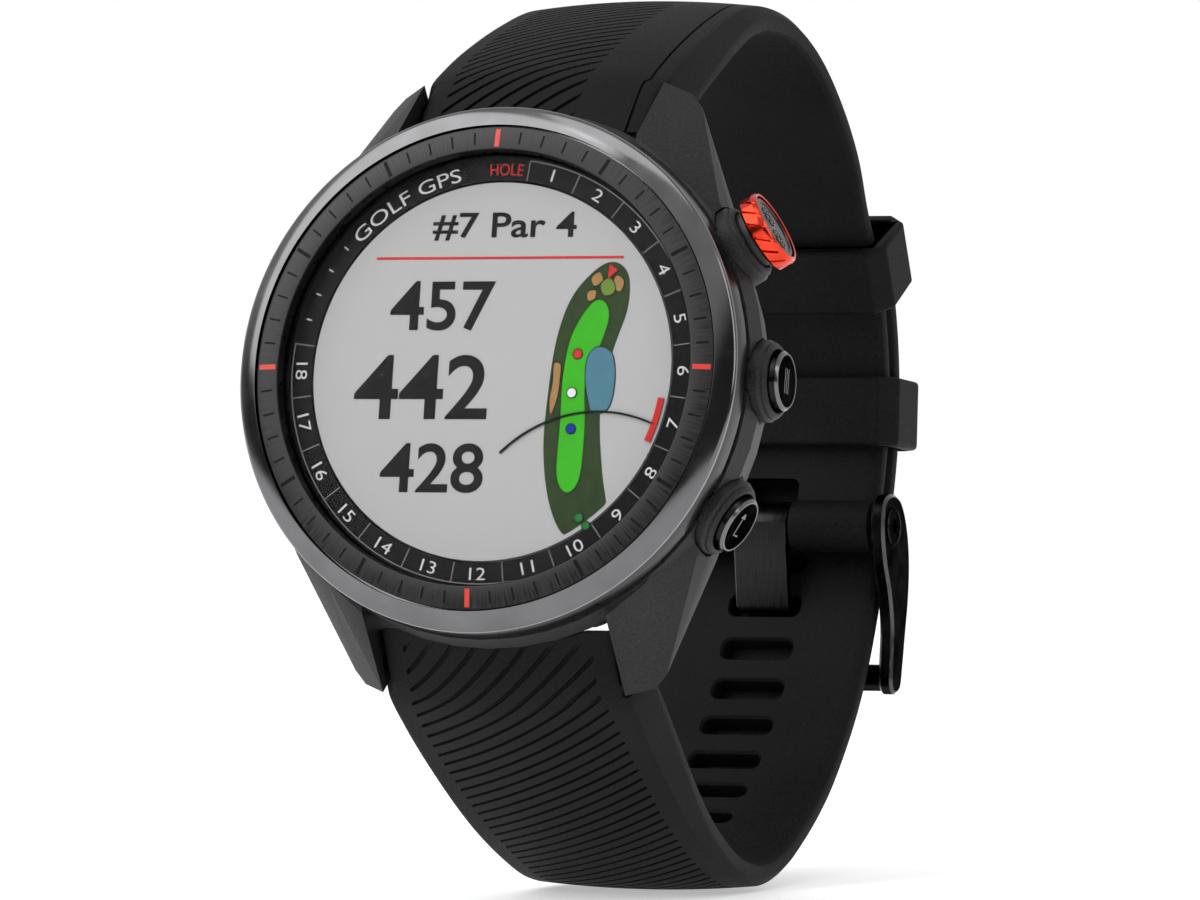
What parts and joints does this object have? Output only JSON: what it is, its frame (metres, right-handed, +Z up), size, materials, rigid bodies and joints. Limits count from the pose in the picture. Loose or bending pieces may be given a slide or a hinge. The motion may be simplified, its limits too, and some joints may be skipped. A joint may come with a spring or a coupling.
{
  "type": "golf gps watch",
  "caption": "Round golf watch with a tick-ring bezel, hole-scale dial, side buttons, and a ribbed silicone strap closed by a pin buckle and keepers.",
  "frame": {"origin": "middle of the closed strap loop, where the wrist is, halfway across the strap", "axes": "+X to the dial's 3 o'clock, the button side; -Y the way the dial faces; +Z up, to the dial's 12 o'clock"},
  "size_m": [0.0495, 0.0865, 0.0814],
  "materials": {
    "case_polymer": "fine-textured dark grey fibre-filled polymer",
    "gunmetal": "polished black coating on the sloping bezel, brushed on its side",
    "brushed_dark": "radially brushed black, with sixty engraved ticks, four of them red",
    "lens_glass": "flat clear glass",
    "scale_black": "gloss black print with white hole numbers",
    "display": "light grey screen with dark figures and a coloured hole map",
    "inner_plastic": "plain black moulding",
    "seal": "rust-red seal rubber",
    "gold": "gold plated",
    "board": "green solder mask",
    "battery_foil": "satin foil pouch",
    "steel": "turned stainless steel",
    "cover": "circular brushed dark steel",
    "window": "gloss black sensor window",
    "red_metal": "polished red anodised metal",
    "dark_metal": "polished black-coated steel",
    "silicone": "matte black moulded silicone"
  },
  "bodies": {
    "watch": {"case_body": "case_polymer", "bezel": "gunmetal", "tick_ring": "brushed_dark", "lens": "lens_glass", "hole_scale_ring": "scale_black", "display_panel": "display", "display_bracket": "inner_plastic", "bezel_seal": "seal", "gps_antenna": "gold", "main_board": "board", "battery": "battery_foil", "vibration_motor": "steel", "sensor_board": "board", "back_cover": "cover", "back_cover_seal": "seal", "sensor_window": "window", "back_screw_1": "steel", "back_screw_2": "steel", "back_screw_3": "steel", "back_screw_4": "steel", "charge_port": "inner_plastic", "charge_contact_1": "gold", "charge_contact_2": "gold", "charge_contact_3": "gold", "charge_contact_4": "gold", "upper_button_guard": "case_polymer", "middle_button_guard": "case_polymer", "lower_button_guard": "case_polymer", "upper_button_seal": "seal", "middle_button_seal": "seal", "lower_button_seal": "seal", "upper_switch": "steel", "middle_switch": "steel", "lower_switch": "steel", "upper_strap_pin": "steel", "lower_strap_pin": "steel", "hole_strap": "silicone", "buckle_strap": "silicone", "buckle_pin": "steel"},
    "upper_button": {"upper_button_ring": "red_metal", "upper_button_cap": "dark_metal", "upper_button_stem": "steel"},
    "middle_button": {"middle_button_cap": "dark_metal", "middle_button_stem": "steel"},
    "lower_button": {"lower_button_cap": "dark_metal", "lower_button_stem": "steel"},
    "tongue": {"buckle_tongue": "dark_metal"},
    "buckle": {"buckle_frame": "dark_metal", "right_buckle_screw": "dark_metal", "left_buckle_screw": "dark_metal"},
    "keeper_upper": {"upper_keeper": "silicone"},
    "keeper_lower": {"lower_keeper": "silicone"},
    "latch_upper": {"upper_latch": "inner_plastic"},
    "latch_lower": {"lower_latch": "inner_plastic"}
  },
  "joints": [
    {"name": "upper_button_press", "type": "slide", "parent": "watch", "child": "upper_button", "axis": [-0.866, -0.0881, -0.4922], "range_m": [0, 0.0005], "stiffness_N_per_m": 1500},
    {"name": "middle_button_press", "type": "slide", "parent": "watch", "child": "middle_button", "axis": [-1, 0, 0], "range_m": [0, 0.0005], "stiffness_N_per_m": 1500},
    {"name": "lower_button_press", "type": "slide", "parent": "watch", "child": "lower_button", "axis": [-0.866, 0.0881, 0.4922], "range_m": [0, 0.0005], "stiffness_N_per_m": 1500},
    {"name": "tongue_hinge", "type": "hinge", "parent": "watch", "child": "tongue", "pos_m": [0, 0.0318, -0.008], "axis": [1, 0, 0], "range_deg": [-50, 0]},
    {"name": "buckle_hinge", "type": "hinge", "parent": "watch", "child": "buckle", "pos_m": [0, 0.0318, -0.008], "axis": [1, 0, 0], "range_deg": [0, 75]},
    {"name": "upper_keeper_slide", "type": "hinge", "parent": "watch", "child": "keeper_upper", "pos_m": [0, 0.0097, 0.0048], "axis": [1, 0, 0], "range_deg": [-5, 5]},
    {"name": "lower_keeper_slide", "type": "hinge", "parent": "watch", "child": "keeper_lower", "pos_m": [0, 0.0097, 0.0048], "axis": [1, 0, 0], "range_deg": [-5, 5]},
    {"name": "upper_latch_pull", "type": "slide", "parent": "watch", "child": "latch_upper", "axis": [0, 0.9164, 0.4003], "range_m": [0, 0.0015], "stiffness_N_per_m": 400},
    {"name": "lower_latch_pull", "type": "slide", "parent": "watch", "child": "latch_lower", "axis": [0, 0.7956, -0.6058], "range_m": [0, 0.0015], "stiffness_N_per_m": 400}
  ]
}
